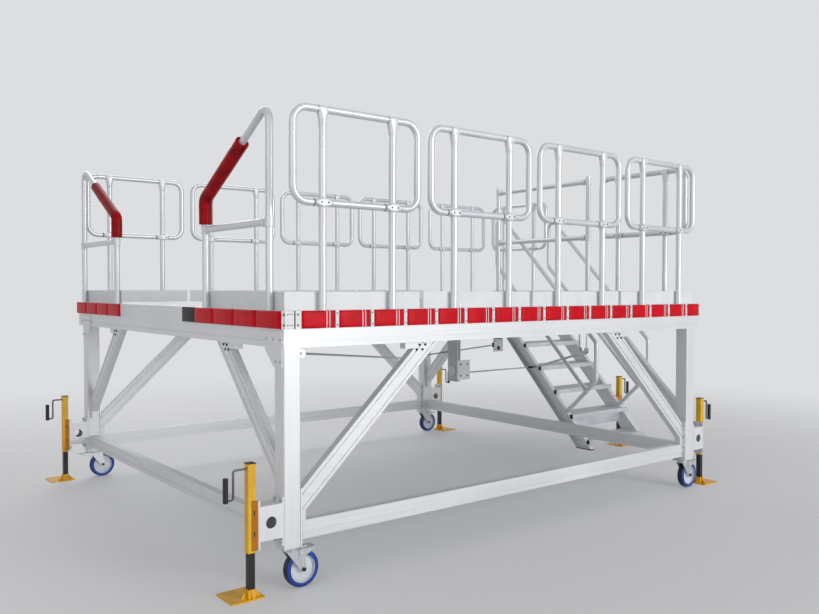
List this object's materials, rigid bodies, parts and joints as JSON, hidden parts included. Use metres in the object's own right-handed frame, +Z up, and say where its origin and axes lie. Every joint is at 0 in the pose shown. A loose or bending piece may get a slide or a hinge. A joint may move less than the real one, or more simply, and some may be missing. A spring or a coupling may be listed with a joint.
{
  "type": "mobile aircraft maintenance platform with access stair",
  "caption": "Mobile aluminium work platform with guard rails, padded docking edge, screw jacks, swivel castors and an access stair with landing.",
  "frame": {"origin": "on the floor, in the middle of the whole part's plan", "axes": "+X along the long padded front face towards the stair, +Y from the front face to the rear, +Z up"},
  "size_m": [5.219, 3.5478, 2.605],
  "materials": {
    "white_aluminium": "powder-coated, slightly glossy",
    "bare_aluminium": "satin anodised",
    "tube_aluminium": "brushed and anodised",
    "deck_plate": "ribbed, satin",
    "red_pad": "smooth, glossy",
    "red_foam": "closed-cell foam, matte",
    "black_plastic": "moulded",
    "yellow_paint": "powder-coated",
    "zinc_steel": "zinc-plated",
    "black_steel": "satin black",
    "blue_tyre": "elastic polyurethane",
    "white_hub": "moulded"
  },
  "bodies": {
    "platform": {"leg_front_left": "white_aluminium", "leg_front_right": "white_aluminium", "leg_rear_left": "white_aluminium", "leg_rear_right": "white_aluminium", "lower_rails": "white_aluminium", "long_beams": "white_aluminium", "cross_beams": "white_aluminium", "long_braces": "bare_aluminium", "cross_braces": "bare_aluminium", "deck_joists": "bare_aluminium", "deck_planks": "deck_plate", "bumper_carriers": "white_aluminium", "bumper_pads": "red_pad", "bumper_ends": "black_plastic", "guard_loops_front": "tube_aluminium", "guard_loops_rear": "tube_aluminium", "guard_loops_right": "tube_aluminium", "guard_loops_landing": "tube_aluminium", "guard_posts": "tube_aluminium", "guard_fittings": "white_aluminium", "guard_left": "tube_aluminium", "foam_sleeves": "red_foam", "barrier_bars": "tube_aluminium", "toe_boards": "white_aluminium", "landing_frame": "bare_aluminium", "landing_deck": "deck_plate", "stair_stringers": "white_aluminium", "stair_feet": "black_plastic", "stair_treads": "deck_plate", "stair_handrails": "tube_aluminium", "drop_column": "white_aluminium", "stay_rods": "zinc_steel", "jack_tubes": "yellow_paint", "jack_saddles": "yellow_paint", "jack_cranks": "zinc_steel", "castor_heads": "zinc_steel"},
    "castor_front_left": {"castor_fork_1": "zinc_steel"},
    "wheel_front_left": {"wheel_hub_1": "white_hub", "wheel_tyre_1": "blue_tyre"},
    "castor_front_right": {"castor_fork_2": "zinc_steel"},
    "wheel_front_right": {"wheel_hub_2": "white_hub", "wheel_tyre_2": "blue_tyre"},
    "castor_rear_left": {"castor_fork_3": "zinc_steel"},
    "wheel_rear_left": {"wheel_hub_3": "white_hub", "wheel_tyre_3": "blue_tyre"},
    "castor_rear_right": {"castor_fork_4": "zinc_steel"},
    "wheel_rear_right": {"wheel_hub_4": "white_hub", "wheel_tyre_4": "blue_tyre"},
    "jack_front_left": {"jack_leg_1": "black_steel"},
    "jack_front_right": {"jack_leg_2": "black_steel"},
    "jack_rear_left": {"jack_leg_3": "black_steel"},
    "jack_rear_right": {"jack_leg_4": "black_steel"},
    "jack_stair": {"jack_leg_5": "black_steel"}
  },
  "joints": [
    {"name": "castor_front_left_swivel", "type": "hinge", "parent": "platform", "child": "castor_front_left", "pos_m": [-2.2205, -1.696, 0.21], "axis": [0, 0, 1], "continuous": true},
    {"name": "wheel_front_left_spin", "type": "hinge", "parent": "castor_front_left", "child": "wheel_front_left", "pos_m": [-2.1605, -1.696, 0.1], "axis": [0, 1, 0], "continuous": true},
    {"name": "castor_front_right_swivel", "type": "hinge", "parent": "platform", "child": "castor_front_right", "pos_m": [1.3795, -1.696, 0.21], "axis": [0, 0, 1], "continuous": true},
    {"name": "wheel_front_right_spin", "type": "hinge", "parent": "castor_front_right", "child": "wheel_front_right", "pos_m": [1.4395, -1.696, 0.1], "axis": [0, 1, 0], "continuous": true},
    {"name": "castor_rear_left_swivel", "type": "hinge", "parent": "platform", "child": "castor_rear_left", "pos_m": [-2.2205, 1.604, 0.21], "axis": [0, 0, 1], "continuous": true},
    {"name": "wheel_rear_left_spin", "type": "hinge", "parent": "castor_rear_left", "child": "wheel_rear_left", "pos_m": [-2.1605, 1.604, 0.1], "axis": [0, 1, 0], "continuous": true},
    {"name": "castor_rear_right_swivel", "type": "hinge", "parent": "platform", "child": "castor_rear_right", "pos_m": [1.3795, 1.604, 0.21], "axis": [0, 0, 1], "continuous": true},
    {"name": "wheel_rear_right_spin", "type": "hinge", "parent": "castor_rear_right", "child": "wheel_rear_right", "pos_m": [1.4395, 1.604, 0.1], "axis": [0, 1, 0], "continuous": true},
    {"name": "jack_front_left_slide", "type": "slide", "parent": "platform", "child": "jack_front_left", "axis": [0, 0, 1], "range_m": [-0.05, 0.17]},
    {"name": "jack_front_right_slide", "type": "slide", "parent": "platform", "child": "jack_front_right", "axis": [0, 0, 1], "range_m": [-0.05, 0.17]},
    {"name": "jack_rear_left_slide", "type": "slide", "parent": "platform", "child": "jack_rear_left", "axis": [0, 0, 1], "range_m": [-0.05, 0.17]},
    {"name": "jack_rear_right_slide", "type": "slide", "parent": "platform", "child": "jack_rear_right", "axis": [0, 0, 1], "range_m": [-0.05, 0.17]},
    {"name": "jack_stair_slide", "type": "slide", "parent": "platform", "child": "jack_stair", "axis": [0, 0, 1], "range_m": [-0.05, 0.17]}
  ]
}
